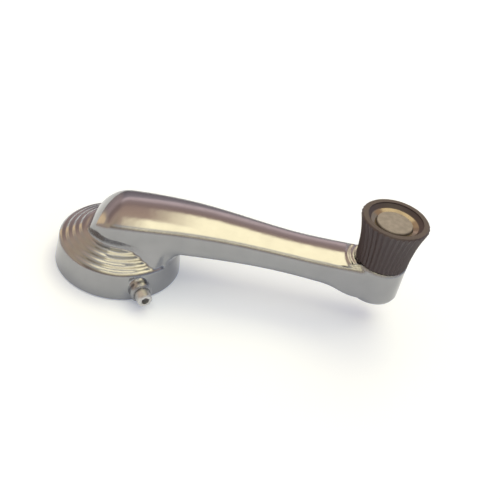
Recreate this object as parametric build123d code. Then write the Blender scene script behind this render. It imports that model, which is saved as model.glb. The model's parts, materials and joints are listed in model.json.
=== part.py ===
"""Crank handle: a chrome-plated die-cast crank with a round stepped hub, an arched arm,
a fluted hand knob that turns on a headed pin, and a set screw that clamps the shaft.

Millimetres.  The origin is on the shaft axis, in the plane of the hub's open underside.
+Z runs up the shaft axis, and +X runs along the arm to the knob.
"""

from build123d import *
from math import asin, atan2, cos, degrees, pi, radians, sin, sqrt
import os

# --- crank layout -----------------------------------------------------------------------
CRANK_LENGTH = 92.0            # shaft axis to knob axis
SHAFT_BORE_DIA = 9.5           # plain round socket for a 3/8 inch shaft
SHAFT_BORE_DEPTH = 15.0

# --- hub shell --------------------------------------------------------------------------
HUB_BASE_DIA = 45.2            # open rim of the skirt
HUB_EDGE_DIA = 43.4            # upper edge of the skirt, where the terraces begin
HUB_EDGE_HEIGHT = 9.9
SKIRT_WALL = 2.4
SKIRT_LIP_CHAMFER = 0.4
TERRACE_COUNT = 4
TERRACE_PITCH = 2.25           # radial width of one terrace
TERRACE_RISE = 1.15            # height gained by one terrace
TERRACE_CROWN = 0.32           # how far a terrace bulges above its own chord
SOCKET_WALL = 3.2              # wall round the shaft bore
RECESS_CEILING_HEIGHT = 7.3    # roof of the hollow under the hub
RIB_COUNT = 3                  # webs between socket and skirt, besides the screw boss
RIB_THICKNESS = 2.0
RIB_SETBACK = 1.6              # the webs stop this far above the open rim

# --- arm --------------------------------------------------------------------------------
NOSE_RADIUS = 12.2             # rounded end of the arm, over the hub
NECK_SETBACK = 28.0            # knob axis back to the place where the taper ends
NECK_HALF_WIDTH = 8.05
CROWN_ROOT_HEIGHT = 24.8       # crown line where it leaves the domed nose
CROWN_ROOT_CLIMB = 6.0         # degrees
CROWN_PEAK_X = 30.0
CROWN_PEAK_HEIGHT = 26.2
CROWN_NECK_DROP = 0.8          # below the boss's top
CROWN_BOSS_DROP = 0.6
CROWN_RADIUS = 46.0            # across the arm
NOSE_DOME_RADIUS = 13.5        # side view of the domed end
NOSE_DOME_REACH = 11.6         # how far the dome reaches behind the shaft axis
UNDERSIDE_ROOT_HEIGHT = 15.9
UNDERSIDE_MID_HEIGHT = 16.5
UNDERSIDE_NECK_HEIGHT = 15.3
HAUNCH_SETBACK = 21.0          # knob axis back to where the underside starts down
ARM_TOP_ROUND = 1.3
ARM_UNDER_CHAMFER = 0.5
ROOT_COVE_RADIUS = 4.5         # cove between the hub and the arm's underside
COVE_INSET = 0.05              # the cove lies this far inside the arm and the hub's edge
FLARE_ANGLE = 47.5             # degrees from the arm to the tip of the root's flare
FLARE_SETBACK = 0.9            # the flare's rim lies this far inside the hub's edge
FLARE_SINK = 1.0               # the flare starts this far below the hub's edge
FLARE_HEIGHT = 13.0            # up to where its sides have run into the arm's walls
FLARE_DRAFT = 19.0             # degrees
FLARE_START_X = 4.0
FLARE_START_SPREAD = 1.3       # beyond the arm's wall, inside the hub
FLARE_TIP_ROUND = 2.0
FLARE_OVERRUN = 3.0            # its sides run on to this many times their length, past the rim

# --- knob boss --------------------------------------------------------------------------
BOSS_DIA = 18.6
BOSS_BOTTOM_HEIGHT = 11.0
BOSS_TOP_HEIGHT = 25.1
BOSS_UNDER_ROUND = 1.8
BOSS_TOP_CHAMFER = 0.3
BOSS_BLEND_RADIUS = 12.0       # concave blend of the arm's sides into the boss
BOSS_BLEND_BITE = 0.4          # the blend runs this far into the boss
COLLAR_COUNT = 2               # stepped collars round the boss, on top of the arm
COLLAR_PITCH = 1.85
COLLAR_RISE = 0.3
COLLAR_TOP_DROP = 0.15         # the innermost collar ends this far below the boss's top
COLLAR_INSET = 0.9             # the collars' ends slope in from here, inside the arm's sides
COLLAR_END_SLOPE = 45.0        # degrees

# --- set screw --------------------------------------------------------------------------
SCREW_ANGLE = -59.5            # degrees round the shaft axis, from the arm
SCREW_HEIGHT = 5.2
SCREW_DIA = 5.2
SCREW_LENGTH = 16.0
SCREW_REACH = 29.4             # outer end, from the shaft axis, when backed out
SCREW_FIT = 0.05               # radial
SCREW_KEY_FLATS = 2.5
SCREW_KEY_DEPTH = 2.2
SCREW_POINT_LENGTH = 1.1
SCREW_END_CHAMFER = 0.4
SCREW_BOSS_DIA = 7.6
SCREW_BOSS_REACH = 25.8
SCREW_BOSS_CHAMFER = 0.6

# --- knob -------------------------------------------------------------------------------
KNOB_BASE_DIA = 18.6
KNOB_RIM_DIA = 24.4
KNOB_HEIGHT = 17.7
KNOB_FLOAT = 0.15              # axial play above the boss
KNOB_BASE_CHAMFER = 0.5
KNOB_RIM_CHAMFER = 0.8
KNOB_DISH_DIA = 19.4
KNOB_DISH_DEPTH = 2.3
KNOB_DISH_HOLLOW = 0.35        # how far the dish curves below its own chord
KNOB_LIP = 0.45                # small step at the dish's outer edge
FLUTE_COUNT = 36
FLUTE_DEPTH = 0.45
FLUTE_SPANS = 3                # of the curve that each ridge follows up the side

# --- knob pin ---------------------------------------------------------------------------
PIN_SHANK_DIA = 7.0
PIN_FIT = 0.06                 # radial running clearance in the knob
PIN_HEAD_DIA = 12.7
PIN_HEAD_THICKNESS = 1.9
PIN_HEAD_CHAMFER = 0.25
PIN_HEAD_PROUD = 0.75          # above the inner edge of the dish
PIN_HEAD_GAP = 0.2             # round the head and below it
PIN_TAIL_DIA = 4.8
PIN_RIVET_DIA = 7.6            # tail spread into the boss's countersink
PIN_RIVET_DEPTH = 1.4

HUB_BASE_RADIUS = HUB_BASE_DIA / 2
HUB_EDGE_RADIUS = HUB_EDGE_DIA / 2
BORE_RADIUS = SHAFT_BORE_DIA / 2
SOCKET_RADIUS = BORE_RADIUS + SOCKET_WALL
BOSS_RADIUS = BOSS_DIA / 2
NECK_X = CRANK_LENGTH - NECK_SETBACK
HAUNCH_START_X = CRANK_LENGTH - HAUNCH_SETBACK
KNOB_PLACE = Pos(CRANK_LENGTH, 0, 0)
SCREW_PLACE = Pos(0, 0, SCREW_HEIGHT) * Rot(0, 0, SCREW_ANGLE) * Rot(0, 90, 0)
CHORDS = 2                     # of one shallow crown in a turned profile
FAR = 200.0                    # beyond anything in the model
SQUARE = 0.02                  # a smaller part of a unit normal counts as none
SAME_PLACE = 0.01


def path(*points):
    """Straight edges through the points."""
    return [Line(a, b) for a, b in zip(points[:-1], points[1:])]


def bulged(start, end, bulge):
    """Chords of an arc whose middle stands bulge to the right of the way from start to end."""
    dx, dy = end[0] - start[0], end[1] - start[1]
    points = []
    for number in range(CHORDS + 1):
        along = number / CHORDS
        out = 4 * bulge * along * (1 - along) / sqrt(dx * dx + dy * dy)
        points.append((start[0] + along * dx + out * dy, start[1] + along * dy - out * dx))
    return path(*points)


def rounded(start, corner, end):
    """Two chords of the quarter round that takes a corner off between two points near it."""
    share = 1 - sqrt(0.5)
    middle = tuple(
        c + share * ((a - c) + (b - c)) for a, c, b in zip(start, corner, end)
    )
    return path(start, middle, end)


def cylinder(radius, low, high):
    """Cylinder on the Z axis, from one height to another."""
    centred = (Align.CENTER, Align.CENTER, Align.MIN)
    return Pos(0, 0, low) * Cylinder(radius, high - low, align=centred)


def turned(edges):
    """Solid of revolution from edges drawn as (radius, height)."""
    return revolve(Plane.XZ * make_face(edges), Axis.Z)


# --- crank body -------------------------------------------------------------------------
def terraces(outer_radius, base_height, pitch, rise, count):
    """Crowned steps that climb inwards, as edges, with the point where they end."""
    edges = []
    corner = (outer_radius, base_height)
    for _ in range(count):
        inner = (corner[0] - pitch, corner[1] + rise)
        edges += bulged(corner, inner, TERRACE_CROWN)
        corner = inner
    return edges, corner


def hub_shell():
    """Stepped dome with a tapered skirt, solid inside."""
    steps, top = terraces(
        HUB_EDGE_RADIUS, HUB_EDGE_HEIGHT, TERRACE_PITCH, TERRACE_RISE, TERRACE_COUNT
    )
    edges = path(
        (0, 0),
        (HUB_BASE_RADIUS - SKIRT_LIP_CHAMFER, 0),
        (HUB_BASE_RADIUS, SKIRT_LIP_CHAMFER),
        (HUB_EDGE_RADIUS, HUB_EDGE_HEIGHT),
    )
    edges += steps
    edges += path(top, (0, top[1]), (0, 0))
    return turned(edges)


def arm_outline(inset=0.0):
    """Plan of the arm: round nose, tapering sides, and blends that run into the boss."""
    nose, half_neck = NOSE_RADIUS - inset, NECK_HALF_WIDTH - inset
    reach = BOSS_RADIUS - BOSS_BLEND_BITE - inset + BOSS_BLEND_RADIUS
    blend_y = half_neck + BOSS_BLEND_RADIUS
    third = NECK_X / 3
    blend_x = CRANK_LENGTH - sqrt(reach ** 2 - blend_y ** 2)
    end_angle = atan2(-blend_y, CRANK_LENGTH - blend_x)
    middle_angle = (end_angle - pi / 2) / 2

    def on_blend(angle, side):
        x = blend_x + BOSS_BLEND_RADIUS * cos(angle)
        return (x, side * (blend_y + BOSS_BLEND_RADIUS * sin(angle)))

    edges = [ThreePointArc((0, nose), (-nose, 0), (0, -nose))]
    for side in (1, -1):
        root, neck = side * nose, side * half_neck
        edges.append(Bezier((0, root), (third, root), (2 * third, neck), (NECK_X, neck)))
        edges.append(Line((NECK_X, neck), (blend_x, neck)))
        blend = [on_blend(angle, side) for angle in (-pi / 2, middle_angle, end_angle)]
        edges.append(ThreePointArc(*blend))
    edges.append(Line(on_blend(end_angle, 1), on_blend(end_angle, -1)))
    return make_face(edges)


def crowned_block():
    """Everything below the arm's top surface: a crowned arch with a domed nose."""
    climb = radians(CROWN_ROOT_CLIMB)
    dome_x = NOSE_DOME_RADIUS - NOSE_DOME_REACH
    meet_x = dome_x - NOSE_DOME_RADIUS * sin(climb)
    dome_height = CROWN_ROOT_HEIGHT - NOSE_DOME_RADIUS * cos(climb)

    def on_dome(angle):
        x = dome_x + NOSE_DOME_RADIUS * cos(angle)
        return (x, dome_height + NOSE_DOME_RADIUS * sin(angle))

    low = HUB_EDGE_HEIGHT - SKIRT_WALL
    meet = (meet_x, CROWN_ROOT_HEIGHT)
    boss_end = (CRANK_LENGTH, BOSS_TOP_HEIGHT - CROWN_BOSS_DROP)
    crown_points = [
        meet,
        (CROWN_PEAK_X, CROWN_PEAK_HEIGHT),
        (NECK_X, BOSS_TOP_HEIGHT - CROWN_NECK_DROP),
        boss_end,
    ]
    edges = path(boss_end, (CRANK_LENGTH, low), (-NOSE_DOME_REACH, low), on_dome(pi))
    edges.append(ThreePointArc(on_dome(pi), on_dome(pi * 3 / 4), meet))
    edges.append(Spline(*crown_points, tangents=[(cos(climb), sin(climb)), (1, 0)]))
    roll_axis = Axis((0, 0, CROWN_PEAK_HEIGHT - CROWN_RADIUS), (1, 0, 0))
    spread = 2 * degrees(asin(2 * NOSE_RADIUS / CROWN_RADIUS))
    face = (Plane.XZ * make_face(edges)).rotate(roll_axis, -spread / 2)
    return revolve(face, roll_axis, spread)


def side_block():
    """Everything above the arm's underside, and down into the hub at the root."""
    low = HUB_EDGE_HEIGHT - SKIRT_WALL
    high = BOSS_TOP_HEIGHT + CROWN_RADIUS
    root = (HUB_EDGE_RADIUS - ROOT_COVE_RADIUS, UNDERSIDE_ROOT_HEIGHT)
    haunch_start = (HAUNCH_START_X, UNDERSIDE_NECK_HEIGHT)
    haunch_end = (CRANK_LENGTH - BOSS_RADIUS / 2, BOSS_BOTTOM_HEIGHT + BOSS_UNDER_ROUND / 2)
    middle = ((root[0] + haunch_start[0]) / 2, UNDERSIDE_MID_HEIGHT)
    turn = (haunch_end[0] - haunch_start[0]) / 2
    edges = path((-FAR, high), (-FAR, low), (root[0], low), root)
    edges.append(ThreePointArc(root, middle, haunch_start))
    edges.append(
        Bezier(
            haunch_start,
            (haunch_start[0] + turn, haunch_start[1]),
            (haunch_end[0] - turn, haunch_end[1]),
            haunch_end,
        )
    )
    edges += path(haunch_end, (CRANK_LENGTH, haunch_end[1]), (CRANK_LENGTH, high), (-FAR, high))
    return extrude(Plane.XZ * make_face(edges), 2 * NOSE_RADIUS, both=True)


def is_upright(face):
    """True for a wall of the arm that runs along it."""
    normal = face.normal_at()
    return abs(normal.Z) < SQUARE and abs(normal.Y) > SQUARE


def arm_bar():
    """The arm with its long edges rounded."""
    high = BOSS_TOP_HEIGHT + CROWN_RADIUS
    bar = extrude(arm_outline(), high) & side_block() & crowned_block()
    walls = [f for f in bar.faces() if is_upright(f)]
    wall_edges = {edge for wall in walls for edge in wall.edges()}
    crown_edges, under_places = [], []
    for face in bar.faces():
        shared = [edge for edge in face.edges() if edge in wall_edges]
        if face.normal_at().Z > SQUARE:
            crown_edges += shared
        elif face.normal_at().Z < -SQUARE:
            under_places += [e.center() for e in shared if e.center().X > HUB_EDGE_RADIUS]
    bar = fillet(crown_edges, ARM_TOP_ROUND)
    under_edges = [
        edge for edge in bar.edges()
        if any((edge.center() - place).length < SAME_PLACE for place in under_places)
    ]
    return chamfer(under_edges, ARM_UNDER_CHAMFER)


def root_cove():
    """Column and cove between the hub's edge and the arm's underside."""
    low = HUB_EDGE_HEIGHT - SKIRT_WALL
    high = UNDERSIDE_MID_HEIGHT + ARM_UNDER_CHAMFER
    inner = HUB_EDGE_RADIUS - 2 * ROOT_COVE_RADIUS
    cove_start = (HUB_EDGE_RADIUS - COVE_INSET, UNDERSIDE_ROOT_HEIGHT - ROOT_COVE_RADIUS)
    cove_end = (HUB_EDGE_RADIUS + ROOT_COVE_RADIUS, high)
    edges = path((inner, low), (cove_start[0], low), cove_start)
    middle = (
        cove_end[0] - ROOT_COVE_RADIUS * sqrt(0.5),
        cove_start[1] + ROOT_COVE_RADIUS * sqrt(0.5),
    )
    edges.append(ThreePointArc(cove_start, middle, cove_end))
    edges += path(cove_end, (inner, high), (inner, low))
    lobe = Box(FAR, FAR, FAR, align=(Align.MIN, Align.CENTER, Align.CENTER))
    return turned(edges) & extrude(arm_outline(COVE_INSET), high) & lobe


def root_flares():
    """Spread of the arm's root over the terraces, drafted up into its walls."""
    rim = HUB_EDGE_RADIUS - FLARE_SETBACK
    start = (FLARE_START_X, NOSE_RADIUS + FLARE_START_SPREAD)
    tip = (rim * cos(radians(FLARE_ANGLE)), rim * sin(radians(FLARE_ANGLE)))
    end = tuple(s + FLARE_OVERRUN * (t - s) for s, t in zip(start, tip))
    plan = Polyline(end, start, (start[0], -start[1]), (end[0], -end[1]), close=True)
    low = HUB_EDGE_HEIGHT - FLARE_SINK
    high = low + FLARE_HEIGHT
    wedge = extrude(Pos(0, 0, low) * make_face(plan), FLARE_HEIGHT, taper=FLARE_DRAFT)
    flare = wedge & cylinder(rim, low, high)
    sloping = [edge for edge in flare.edges() if low < edge.center().Z < high]
    tips = [edge for edge in sloping if edge.center().X > (start[0] + tip[0]) / 2]
    return fillet(tips, FLARE_TIP_ROUND)


def knob_boss():
    """Round boss that carries the knob pin, with stepped collars where the arm meets it."""
    under_start = (BOSS_RADIUS - BOSS_UNDER_ROUND, BOSS_BOTTOM_HEIGHT)
    under_end = (BOSS_RADIUS, BOSS_BOTTOM_HEIGHT + BOSS_UNDER_ROUND)
    edges = path((0, BOSS_BOTTOM_HEIGHT), under_start)
    edges += rounded(under_start, (BOSS_RADIUS, BOSS_BOTTOM_HEIGHT), under_end)
    edges += path(
        under_end,
        (BOSS_RADIUS, BOSS_TOP_HEIGHT - BOSS_TOP_CHAMFER),
        (BOSS_RADIUS - BOSS_TOP_CHAMFER, BOSS_TOP_HEIGHT),
        (0, BOSS_TOP_HEIGHT),
        (0, BOSS_BOTTOM_HEIGHT),
    )
    boss = KNOB_PLACE * turned(edges)

    outer = BOSS_RADIUS + COLLAR_COUNT * COLLAR_PITCH
    base = BOSS_TOP_HEIGHT - COLLAR_TOP_DROP - COLLAR_COUNT * COLLAR_RISE
    drop = CROWN_BOSS_DROP + COLLAR_INSET
    foot = BOSS_TOP_HEIGHT - drop
    steps, top = terraces(outer, base, COLLAR_PITCH, COLLAR_RISE, COLLAR_COUNT)
    edges = path((0, foot), (outer, foot), (outer, base)) + steps
    edges += path(top, (0, top[1]), (0, foot))
    sides = extrude(Pos(0, 0, foot) * arm_outline(COLLAR_INSET), drop, taper=COLLAR_END_SLOPE)
    collars = (KNOB_PLACE * turned(edges)) & sides
    return boss + collars


def screw_boss():
    """Round boss for the set screw, from the socket out through the skirt."""
    radius = SCREW_BOSS_DIA / 2
    edges = path(
        (0, BORE_RADIUS),
        (radius, BORE_RADIUS),
        (radius, SCREW_BOSS_REACH - SCREW_BOSS_CHAMFER),
        (radius - SCREW_BOSS_CHAMFER, SCREW_BOSS_REACH),
        (0, SCREW_BOSS_REACH),
        (0, BORE_RADIUS),
    )
    return SCREW_PLACE * turned(edges)


def hub_recess():
    """Hollow under the hub, between the skirt and the shaft socket, split by webs."""
    lean = (HUB_BASE_RADIUS - HUB_EDGE_RADIUS) / HUB_EDGE_HEIGHT
    mouth = HUB_BASE_RADIUS - SKIRT_WALL
    roof = mouth - lean * RECESS_CEILING_HEIGHT
    edges = path(
        (SOCKET_RADIUS, 0),
        (mouth, 0),
        (roof, RECESS_CEILING_HEIGHT),
        (SOCKET_RADIUS, RECESS_CEILING_HEIGHT),
        (SOCKET_RADIUS, 0),
    )
    recess = turned(edges)
    for number in range(1, RIB_COUNT + 1):
        angle = SCREW_ANGLE + number * 360 / (RIB_COUNT + 1)
        web = Box(
            HUB_BASE_RADIUS,
            RIB_THICKNESS,
            RECESS_CEILING_HEIGHT,
            align=(Align.MIN, Align.CENTER, Align.MIN),
        )
        recess -= Rot(0, 0, angle) * Pos(0, 0, RIB_SETBACK) * web
    return recess - screw_boss()


def crank_body():
    """The one casting: hub, arm and knob boss."""
    casting = hub_shell() + root_cove() + root_flares() + arm_bar() + knob_boss() + screw_boss()
    casting -= hub_recess()
    casting -= cylinder(BORE_RADIUS, 0, SHAFT_BORE_DEPTH)
    casting -= SCREW_PLACE * cylinder(SCREW_DIA / 2 + SCREW_FIT, 0, HUB_BASE_DIA)
    casting -= KNOB_PLACE * rivet_tail()
    return casting


# --- knob pin ---------------------------------------------------------------------------
KNOB_BOTTOM = BOSS_TOP_HEIGHT + KNOB_FLOAT
KNOB_TOP = KNOB_BOTTOM + KNOB_HEIGHT
DISH_FLOOR = KNOB_TOP - KNOB_DISH_DEPTH
PIN_HEAD_TOP = DISH_FLOOR + PIN_HEAD_PROUD
PIN_HEAD_SEAT = PIN_HEAD_TOP - PIN_HEAD_THICKNESS


def rivet_tail():
    """Tail of the pin, spread into a countersink under the boss."""
    tail, rivet = PIN_TAIL_DIA / 2, PIN_RIVET_DIA / 2
    edges = path(
        (0, BOSS_BOTTOM_HEIGHT),
        (rivet, BOSS_BOTTOM_HEIGHT),
        (tail, BOSS_BOTTOM_HEIGHT + PIN_RIVET_DEPTH),
        (tail, BOSS_TOP_HEIGHT),
        (0, BOSS_TOP_HEIGHT),
        (0, BOSS_BOTTOM_HEIGHT),
    )
    return turned(edges)


def knob_pin():
    """Headed pin: a shoulder on the boss, a shank in the knob and a wide flat head."""
    head = PIN_HEAD_DIA / 2
    shank = PIN_SHANK_DIA / 2
    edges = path(
        (0, BOSS_TOP_HEIGHT),
        (shank, BOSS_TOP_HEIGHT),
        (shank, PIN_HEAD_SEAT),
        (head, PIN_HEAD_SEAT),
        (head, PIN_HEAD_TOP - PIN_HEAD_CHAMFER),
        (head - PIN_HEAD_CHAMFER, PIN_HEAD_TOP),
        (0, PIN_HEAD_TOP),
        (0, BOSS_TOP_HEIGHT),
    )
    return KNOB_PLACE * (turned(edges) + rivet_tail())


# --- knob -------------------------------------------------------------------------------
def knob_radius(height):
    """Radius of the knob's flared side, over the ridges."""
    flare = (KNOB_RIM_DIA - KNOB_BASE_DIA) / 2
    curve = (KNOB_HEIGHT ** 2 + flare ** 2) / (2 * flare)
    return KNOB_BASE_DIA / 2 + curve - sqrt(curve ** 2 - (height - KNOB_BOTTOM) ** 2)


def fluted_section(height):
    """Section of the knob's side, with a ridge and a groove for each flute."""
    points = []
    for number in range(2 * FLUTE_COUNT):
        radius = knob_radius(height) - FLUTE_DEPTH * (number % 2)
        angle = pi * number / FLUTE_COUNT
        points.append((radius * cos(angle), radius * sin(angle)))
    return Pos(0, 0, height) * make_face(Polyline(points, close=True))


def knob():
    """Flared hand knob with flutes, a dished top and a bore for the pin."""
    base, rim, dish = KNOB_BASE_DIA / 2, KNOB_RIM_DIA / 2, KNOB_DISH_DIA / 2
    bore = PIN_SHANK_DIA / 2 + PIN_FIT
    pocket = PIN_HEAD_DIA / 2 + PIN_HEAD_GAP
    seat = PIN_HEAD_SEAT - PIN_HEAD_GAP
    levels = [KNOB_BOTTOM + KNOB_HEIGHT * number / FLUTE_SPANS for number in range(FLUTE_SPANS + 1)]
    fluted = loft([fluted_section(height) for height in levels])

    edges = path(
        (bore, KNOB_BOTTOM),
        (base - KNOB_BASE_CHAMFER, KNOB_BOTTOM),
        (rim, KNOB_BOTTOM + rim - base + KNOB_BASE_CHAMFER),
        (rim, KNOB_TOP - KNOB_RIM_CHAMFER),
        (rim - KNOB_RIM_CHAMFER, KNOB_TOP),
        (dish, KNOB_TOP),
        (dish, KNOB_TOP - KNOB_LIP),
    )
    edges += bulged((dish, KNOB_TOP - KNOB_LIP), (pocket, DISH_FLOOR), -KNOB_DISH_HOLLOW)
    edges += path((pocket, DISH_FLOOR), (pocket, seat), (bore, seat), (bore, KNOB_BOTTOM))
    return KNOB_PLACE * (fluted & turned(edges))


# --- set screw --------------------------------------------------------------------------
def set_screw():
    """Headless screw with a hexagon socket and a coned point, backed out of its boss."""
    radius = SCREW_DIA / 2
    tip = SCREW_REACH - SCREW_LENGTH
    edges = path(
        (0, tip),
        (radius - SCREW_POINT_LENGTH, tip),
        (radius, tip + SCREW_POINT_LENGTH),
        (radius, SCREW_REACH - SCREW_END_CHAMFER),
        (radius - SCREW_END_CHAMFER, SCREW_REACH),
        (0, SCREW_REACH),
        (0, tip),
    )
    hexagon = RegularPolygon(SCREW_KEY_FLATS / 2, 6, major_radius=False)
    key = extrude(hexagon, SCREW_KEY_DEPTH)
    return SCREW_PLACE * (turned(edges) - Pos(0, 0, SCREW_REACH - SCREW_KEY_DEPTH) * key)


os.makedirs("parts", exist_ok=True)
for make in (crank_body, set_screw, knob, knob_pin):
    export_step(make(), f"parts/{make.__name__}.step")
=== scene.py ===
"""Looks for the crank handle: materials, floor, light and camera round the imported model."""

import json
from math import cos, radians, sin

import bpy
from mathutils import Matrix, Vector


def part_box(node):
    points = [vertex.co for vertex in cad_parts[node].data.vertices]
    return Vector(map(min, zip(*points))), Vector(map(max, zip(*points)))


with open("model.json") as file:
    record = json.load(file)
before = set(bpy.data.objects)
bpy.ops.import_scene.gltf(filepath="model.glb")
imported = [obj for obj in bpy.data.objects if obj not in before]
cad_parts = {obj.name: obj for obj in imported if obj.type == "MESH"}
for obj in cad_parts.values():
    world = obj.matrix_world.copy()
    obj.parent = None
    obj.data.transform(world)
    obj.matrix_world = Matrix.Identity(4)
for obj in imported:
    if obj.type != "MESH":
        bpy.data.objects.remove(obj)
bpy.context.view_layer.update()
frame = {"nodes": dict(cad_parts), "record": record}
nodes = frame["nodes"]

# --- camera -----------------------------------------------------------------------------
CAMERA_AZIMUTH = radians(-2.0)
CAMERA_ELEVATION = radians(37.14)
CAMERA_ROLL = radians(13.47)
CAMERA_DISTANCE = 0.3128
CAMERA_LENS_MM = 57.6
CAMERA_NEAR = 0.01
CAMERA_TARGET = Vector((0.04705, 0.02214, 0.0))


def add_camera():
    flat = Vector((sin(CAMERA_AZIMUTH), -cos(CAMERA_AZIMUTH), 0.0))
    back = flat * cos(CAMERA_ELEVATION) + Vector((0, 0, sin(CAMERA_ELEVATION)))
    level_right = Vector((cos(CAMERA_AZIMUTH), sin(CAMERA_AZIMUTH), 0.0))
    level_up = back.cross(level_right)
    right = level_right * cos(CAMERA_ROLL) + level_up * sin(CAMERA_ROLL)
    up = back.cross(right)
    camera = bpy.data.objects.new("camera", bpy.data.cameras.new("camera"))
    camera.data.lens = CAMERA_LENS_MM
    camera.data.clip_start = CAMERA_NEAR
    place = Matrix((right, up, back)).transposed().to_4x4()
    place.translation = CAMERA_TARGET + back * CAMERA_DISTANCE
    camera.matrix_world = place
    bpy.context.collection.objects.link(camera)
    bpy.context.scene.camera = camera


# --- node helpers -----------------------------------------------------------------------
class Graph:
    """A node tree with short calls for the nodes that the materials share.

    A value is a number, a colour of three numbers, or another node's socket.
    """

    def __init__(self, tree):
        self.tree = tree
        tree.nodes.clear()

    def add(self, kind, inputs=None, **settings):
        node = self.tree.nodes.new(kind)
        for name, value in settings.items():
            setattr(node, name, value)
        for key, value in (inputs or {}).items():
            self.feed(node, key, value)
        return node

    def feed(self, node, key, value):
        socket = node.inputs[key]
        if isinstance(value, bpy.types.NodeSocket):
            self.tree.links.new(value, socket)
        else:
            socket.default_value = (*value, 1.0) if socket.type == "RGBA" else value

    def math(self, operation, first, second=0.0, clamp=False):
        values = {0: first, 1: second}
        node = self.add("ShaderNodeMath", values, operation=operation, use_clamp=clamp)
        return node.outputs[0]

    def all_of(self, first, *others):
        """The product of several shares, so high only where all of them are."""
        for other in others:
            first = self.math("MULTIPLY", first, other)
        return first

    def split(self, vector):
        """A vector's x, y and z."""
        parts = self.add("ShaderNodeSeparateXYZ", {0: vector})
        return (parts.outputs[axis] for axis in "XYZ")

    def noise(self, where, scale, detail=2.0, roughness=0.5):
        values = {"Vector": where, "Scale": scale, "Detail": detail, "Roughness": roughness}
        return self.add("ShaderNodeTexNoise", values).outputs["Fac"]

    def spread(self, value, low, high, to_low=0.0, to_high=1.0):
        """Maps low..high to to_low..to_high and holds the ends; low may be above high."""
        values = {0: value, 1: low, 2: high, 3: to_low, 4: to_high}
        return self.add("ShaderNodeMapRange", values).outputs[0]

    def blend(self, share, first, second):
        """Two colours mixed."""
        values = {0: share, 6: first, 7: second}
        return self.add("ShaderNodeMix", values, data_type="RGBA").outputs[2]

    def mix(self, share, first, second):
        """Two numbers mixed."""
        values = {0: share, 2: first, 3: second}
        return self.add("ShaderNodeMix", values, data_type="FLOAT").outputs[0]

    def ramp(self, value, stops):
        node = self.add("ShaderNodeValToRGB", {0: value})
        elements = node.color_ramp.elements
        while len(elements) < len(stops):
            elements.new(0.5)
        for element, (place, colour) in zip(elements, stops):
            element.position = place
            element.color = (*colour, 1.0)
        return node.outputs[0]

    def bump(self, height, strength, distance, normal=None):
        values = {"Height": height, "Strength": strength, "Distance": distance}
        if normal:
            values["Normal"] = normal
        return self.add("ShaderNodeBump", values).outputs["Normal"]


# --- materials --------------------------------------------------------------------------
# Places on the object are in millimetres here. Radii of rounding and bump heights go to
# Blender in metres. A pair is where a share starts to rise and where it is full.
MM_PER_METRE = 1000.0
NOISE_MIDDLE = (0.3, 0.7)       # where most of a noise's values lie

CHROME = (0.318, 0.320, 0.332)
CHROME_CLOUDED = (0.298, 0.300, 0.311)
CHROME_SPECK = (0.25, 0.24, 0.23)
PLASTIC = (0.044, 0.030, 0.034)
PLASTIC_CLOUDED = (0.056, 0.038, 0.041)
BRONZE = (0.27, 0.218, 0.165)
BRONZE_CLOUDED = (0.185, 0.148, 0.113)
PIN = (0.280, 0.258, 0.250)
PIN_CLOUDED = (0.200, 0.184, 0.180)
STEEL = (0.60, 0.60, 0.60)
STEEL_CLOUDED = (0.48, 0.48, 0.48)

CAST_ROUNDING = 0.0012
ARM_ROUNDING = 0.0025
ROOT_ROUNDING = 0.005
SCREW_BOSS_ROUNDING = 0.0026
BEVEL_SAMPLES = 8
ABOVE_TERRACES = (14.6, 15.6)
SHORT_OF_COLLARS = (76.0, 74.0)
BESIDE_COLLARS = (5.5, 7.5)
BESIDE_ARM = (8.0, 9.5)
ROOT_START = (2.0, 6.0)
ROOT_END = (24.0, 19.0)
ROOT_TOP = (22.5, 20.5)
OUT_ON_SCREW_BOSS = (22.0, 22.5)
SCREW_BOSS_TOP = (10.0, 9.5)

DISH_RADIUS = 8.5
DISH_DEPTH = 2.6
DISH_FADE = 0.2
DISH_METAL = 0.6


def material(name):
    """A new material, its graph, its shader and the place on the object in millimetres."""
    made = bpy.data.materials.new(name)
    made.use_nodes = True
    graph = Graph(made.node_tree)
    shader = graph.add("ShaderNodeBsdfPrincipled")
    graph.add("ShaderNodeOutputMaterial", {0: shader.outputs[0]})
    values = {0: graph.add("ShaderNodeTexCoord").outputs["Object"], "Scale": MM_PER_METRE}
    where = graph.add("ShaderNodeVectorMath", values, operation="SCALE").outputs[0]
    return made, graph, shader, where


def finish(graph, shader, colour, roughness, metallic, normal):
    values = {
        "Base Color": colour,
        "Roughness": roughness,
        "Metallic": metallic,
        "Normal": normal,
    }
    for key, value in values.items():
        graph.feed(shader, key, value)


def dress(node, made):
    slots = nodes[node].data.materials
    for number in range(len(slots)):
        slots[number] = made


def screw_axis():
    """The set screw's way inwards."""
    joints = frame["record"]["behaviour"]["joints"]
    return next(joint["axis"] for joint in joints if joint["name"] == "screw_slide")


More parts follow.
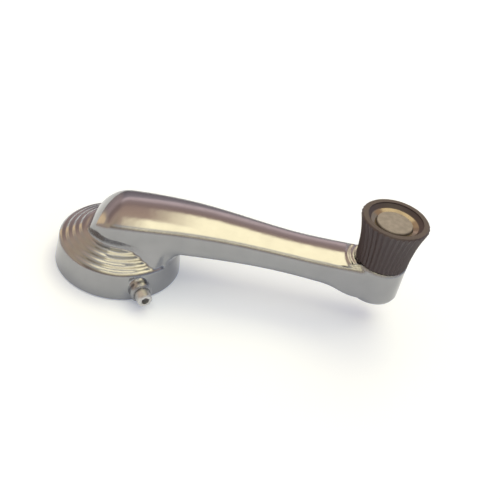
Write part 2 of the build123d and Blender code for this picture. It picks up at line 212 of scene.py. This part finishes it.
def cast_rounding(graph, where):
    """How softly the casting's edges are rounded: more on the arm, its root and the screw boss."""
    x, y, z = graph.split(where)
    beside = graph.math("ABSOLUTE", y)
    above_terraces = graph.spread(z, *ABOVE_TERRACES)

    off_collars = graph.math(
        "MAXIMUM", graph.spread(beside, *BESIDE_COLLARS), graph.spread(x, *SHORT_OF_COLLARS)
    )
    on_arm = graph.all_of(above_terraces, off_collars)
    rounding = graph.mix(on_arm, CAST_ROUNDING, ARM_ROUNDING)

    on_root = graph.all_of(
        graph.spread(beside, *BESIDE_ARM),
        graph.spread(x, *ROOT_START),
        graph.spread(x, *ROOT_END),
        above_terraces,
        graph.spread(z, *ROOT_TOP),
    )
    rounding = graph.mix(on_root, rounding, ROOT_ROUNDING)

    in_x, in_y, _ = screw_axis()
    out = graph.math("ADD", graph.math("MULTIPLY", x, -in_x), graph.math("MULTIPLY", y, -in_y))
    on_boss = graph.all_of(
        graph.spread(out, *OUT_ON_SCREW_BOSS), graph.spread(z, *SCREW_BOSS_TOP)
    )
    return graph.mix(on_boss, rounding, SCREW_BOSS_ROUNDING)


def chrome():
    """Bright plate over a cast surface: soft waves, faint clouding and a few specks."""
    made, graph, shader, where = material("chrome_casting_look")
    cloud = graph.noise(where, 0.16, 3.0)
    specks = graph.noise(where, 2.6, 3.0, 0.65)
    waves = graph.noise(where, 0.30, 1.0)
    tint = graph.blend(graph.spread(cloud, 0.35, 0.7), CHROME, CHROME_CLOUDED)
    tint = graph.blend(graph.spread(specks, 0.66, 0.76), tint, CHROME_SPECK)
    rough = graph.spread(cloud, *NOISE_MIDDLE, 0.06, 0.12)
    rough = graph.math("ADD", rough, graph.spread(specks, 0.6, 0.8, 0.0, 0.12))
    radius = {"Radius": cast_rounding(graph, where)}
    soft = graph.add("ShaderNodeBevel", radius, samples=BEVEL_SAMPLES).outputs[0]
    finish(graph, shader, tint, rough, 1.0, graph.bump(waves, 0.5, 0.00004, soft))
    return made


def dish_share(graph, where):
    """1 on the bronze ring in the knob's dish and 0 on the plastic round it."""
    low, high = (Vector(corner) * MM_PER_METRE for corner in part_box("knob"))
    centre = (low + high) / 2
    x, y, z = graph.split(where)
    squares = [
        graph.math("POWER", graph.math("SUBTRACT", place, middle), 2.0)
        for place, middle in ((x, centre.x), (y, centre.y))
    ]
    radius = graph.math("SQRT", graph.math("ADD", *squares))
    floor = high.z - DISH_DEPTH
    return graph.all_of(
        graph.spread(radius, DISH_RADIUS, DISH_RADIUS - DISH_FADE),
        graph.spread(z, floor - DISH_FADE, floor),
    )


def knob_plastic():
    """Dark moulded plastic, clouded a little, with a polished bronze ring in its dish."""
    made, graph, shader, where = material("knob_plastic_look")
    dish = dish_share(graph, where)
    cloud = graph.noise(where, 0.22, 3.0)
    grain = graph.noise(where, 6.0, 3.0, 0.6)
    plastic = graph.blend(cloud, PLASTIC, PLASTIC_CLOUDED)
    tint = graph.blend(dish, plastic, graph.blend(cloud, BRONZE, BRONZE_CLOUDED))
    matt = graph.spread(grain, *NOISE_MIDDLE, 0.42, 0.54)
    polished = graph.spread(grain, *NOISE_MIDDLE, 0.09, 0.15)
    rough = graph.mix(dish, matt, polished)
    metallic = graph.math("MULTIPLY", dish, DISH_METAL)
    finish(graph, shader, tint, rough, metallic, graph.bump(grain, 0.25, 0.00002))
    return made


def pin_metal():
    """Matt taupe pin head with a slight mottle."""
    made, graph, shader, where = material("pin_metal_look")
    cloud = graph.noise(where, 0.55, 4.0, 0.6)
    grain = graph.noise(where, 5.0, 3.0, 0.6)
    tint = graph.blend(graph.spread(cloud, *NOISE_MIDDLE), PIN, PIN_CLOUDED)
    rough = graph.spread(grain, *NOISE_MIDDLE, 0.45, 0.60)
    finish(graph, shader, tint, rough, 0.3, graph.bump(grain, 0.3, 0.00003))
    return made


def screw_steel():
    """Plain machined steel."""
    made, graph, shader, where = material("screw_steel_look")
    grain = graph.noise(where, 4.0, 3.0, 0.6)
    tint = graph.blend(grain, STEEL, STEEL_CLOUDED)
    rough = graph.spread(grain, *NOISE_MIDDLE, 0.30, 0.44)
    finish(graph, shader, tint, rough, 0.85, graph.bump(grain, 0.25, 0.00002))
    return made


# --- floor ------------------------------------------------------------------------------
# A little blue, because the light is warm and the floor is white in the photograph.
FLOOR_SIZE = 6.0
FLOOR_DROP = 0.0002
FLOOR_COLOUR = (0.775, 0.85, 0.99)
FLOOR_LIFT = (0.18, 0.19, 0.21)


def add_floor():
    """A plain floor that keeps the shadow; its lift is seen but lights nothing matt."""
    half = FLOOR_SIZE / 2
    corners = [(-half, -half), (half, -half), (half, half), (-half, half)]
    mesh = bpy.data.meshes.new("floor")
    mesh.from_pydata([(x, y, -FLOOR_DROP) for x, y in corners], [], [(0, 1, 2, 3)])
    floor = bpy.data.objects.new("floor", mesh)
    bpy.context.collection.objects.link(floor)
    made = bpy.data.materials.new("floor_look")
    made.use_nodes = True
    graph = Graph(made.node_tree)
    paper = graph.add("ShaderNodeBsdfDiffuse", {"Color": FLOOR_COLOUR})
    rays = graph.add("ShaderNodeLightPath").outputs
    seen = graph.math("ADD", rays["Is Camera Ray"], rays["Is Glossy Ray"])
    seen = graph.math("ADD", seen, rays["Is Transmission Ray"], clamp=True)
    lift = graph.add("ShaderNodeEmission", {"Color": FLOOR_LIFT, "Strength": seen})
    both = graph.add("ShaderNodeAddShader", {0: paper.outputs[0], 1: lift.outputs[0]})
    graph.add("ShaderNodeOutputMaterial", {0: both.outputs[0]})
    mesh.materials.append(made)


# --- light ------------------------------------------------------------------------------
# Colour of the tent by elevation in degrees, on each of its sides.
ZENITH = (0.80, 0.80, 0.82)
BEHIND = [
    (0, (0.22, 0.19, 0.20)),
    (8, (0.36, 0.31, 0.33)),
    (17, (0.55, 0.47, 0.49)),
    (20, (1.25, 1.00, 1.00)),
    (23, (1.22, 0.95, 0.92)),
    (26, (0.72, 0.54, 0.51)),
    (32, (0.66, 0.47, 0.41)),
    (37, (0.88, 0.62, 0.50)),
    (46, (1.02, 0.73, 0.55)),
    (62, (1.10, 0.88, 0.68)),
    (70, ZENITH),
]
BEHIND_LEFT = [
    (0, (0.50, 0.42, 0.40)),
    (10, (0.62, 0.48, 0.46)),
    (16, (0.78, 0.60, 0.57)),
    (22, (0.72, 0.55, 0.52)),
    (27, (0.52, 0.38, 0.34)),
    (33, (0.58, 0.41, 0.36)),
    (38, (0.85, 0.62, 0.50)),
    (43, (0.98, 0.74, 0.57)),
    (50, (0.85, 0.66, 0.48)),
    (70, ZENITH),
]
FRONT = [
    (0, (0.85, 0.86, 0.88)),
    (8, (0.95, 0.95, 0.97)),
    (12, (1.05, 1.00, 0.95)),
    (17, (0.90, 0.76, 0.62)),
    (21, (0.44, 0.35, 0.30)),
    (49, (0.40, 0.32, 0.27)),
    (53, (0.90, 0.78, 0.52)),
    (57, (1.05, 0.92, 0.66)),
    (70, ZENITH),
]
LEFT = [
    (0, (0.70, 0.58, 0.50)),
    (5, (0.85, 0.68, 0.56)),
    (25, (0.85, 0.68, 0.56)),
    (33, (0.92, 0.73, 0.53)),
    (50, (0.92, 0.76, 0.56)),
    (70, ZENITH),
]
RIGHT = (0.52, 0.58, 0.70)
PATCH = (1.6, 1.2, 0.75)
PANEL = (3.15, 2.83, 1.87)

# Where the sides, patch and panels lie, in parts x, y and z of the direction looked in.
BEHIND_Y = (-0.10, 0.12)
BEHIND_LEFT_X = (-0.33, -0.41)
LEFT_X = (-0.62, -0.70)
RIGHT_X = (0.35, 0.50)
RIGHT_Z = (0.62, 0.50)
PATCH_X = -0.75
PATCH_WIDTH = (0.08, 0.04)
PATCH_Z = (0.45, 0.36)
UPPER_PANEL_EDGE = (0.825, 0.755)   # its lower edge in front and behind
UPPER_PANEL_FADE = 0.045
UPPER_PANEL_X = (-0.30, -0.20)
LOWER_PANEL_Z = (0.56, 0.605)
LOWER_PANEL_LEFT_X = (-0.20, -0.03)
LOWER_PANEL_RIGHT_X = (0.45, 0.35)
PANELS_TOP_Z = (0.965, 0.94)


def panel_share(graph, x, y, z, behind):
    """1 in the two bright panels overhead: one across, and one lower down behind."""
    edge = graph.spread(y, *BEHIND_Y, *UPPER_PANEL_EDGE)
    upper = graph.all_of(
        graph.spread(graph.math("SUBTRACT", z, edge), 0.0, UPPER_PANEL_FADE),
        graph.spread(x, *UPPER_PANEL_X),
    )
    lower = graph.all_of(
        graph.spread(z, *LOWER_PANEL_Z),
        graph.spread(x, *LOWER_PANEL_LEFT_X),
        graph.spread(x, *LOWER_PANEL_RIGHT_X),
        behind,
    )
    return graph.all_of(graph.math("MAXIMUM", upper, lower), graph.spread(z, *PANELS_TOP_Z))


def add_world():
    """A soft studio tent: warm and dark low down behind, with cream panels overhead."""
    world = bpy.data.worlds.new("studio")
    bpy.context.scene.world = world
    world.use_nodes = True
    graph = Graph(world.node_tree)
    x, y, z = graph.split(graph.add("ShaderNodeTexCoord").outputs["Generated"])
    height = graph.spread(graph.math("ARCSINE", z), 0.0, radians(90))

    def wall(stops):
        return graph.ramp(height, [(degrees / 90, colour) for degrees, colour in stops])

    behind = graph.spread(y, *BEHIND_Y)
    colour = graph.blend(graph.spread(x, *BEHIND_LEFT_X), wall(BEHIND), wall(BEHIND_LEFT))
    colour = graph.blend(behind, wall(FRONT), colour)
    right = graph.all_of(graph.spread(x, *RIGHT_X), graph.spread(z, *RIGHT_Z))
    colour = graph.blend(right, colour, RIGHT)
    colour = graph.blend(graph.spread(x, *LEFT_X), colour, wall(LEFT))
    from_patch = graph.math("ABSOLUTE", graph.math("SUBTRACT", x, PATCH_X))
    patch = graph.all_of(
        graph.spread(from_patch, *PATCH_WIDTH), graph.spread(z, *PATCH_Z), behind
    )
    colour = graph.blend(patch, colour, PATCH)
    colour = graph.blend(panel_share(graph, x, y, z, behind), colour, PANEL)
    sky = graph.add("ShaderNodeBackground", {"Color": colour})
    graph.add("ShaderNodeOutputWorld", {0: sky.outputs[0]})


# --- scene ------------------------------------------------------------------------------
add_camera()
for node, make in (
    ("crank_body", chrome),
    ("knob", knob_plastic),
    ("knob_pin", pin_metal),
    ("set_screw", screw_steel),
):
    dress(node, make())
add_floor()
add_world()
bpy.context.scene.view_settings.view_transform = "Standard"
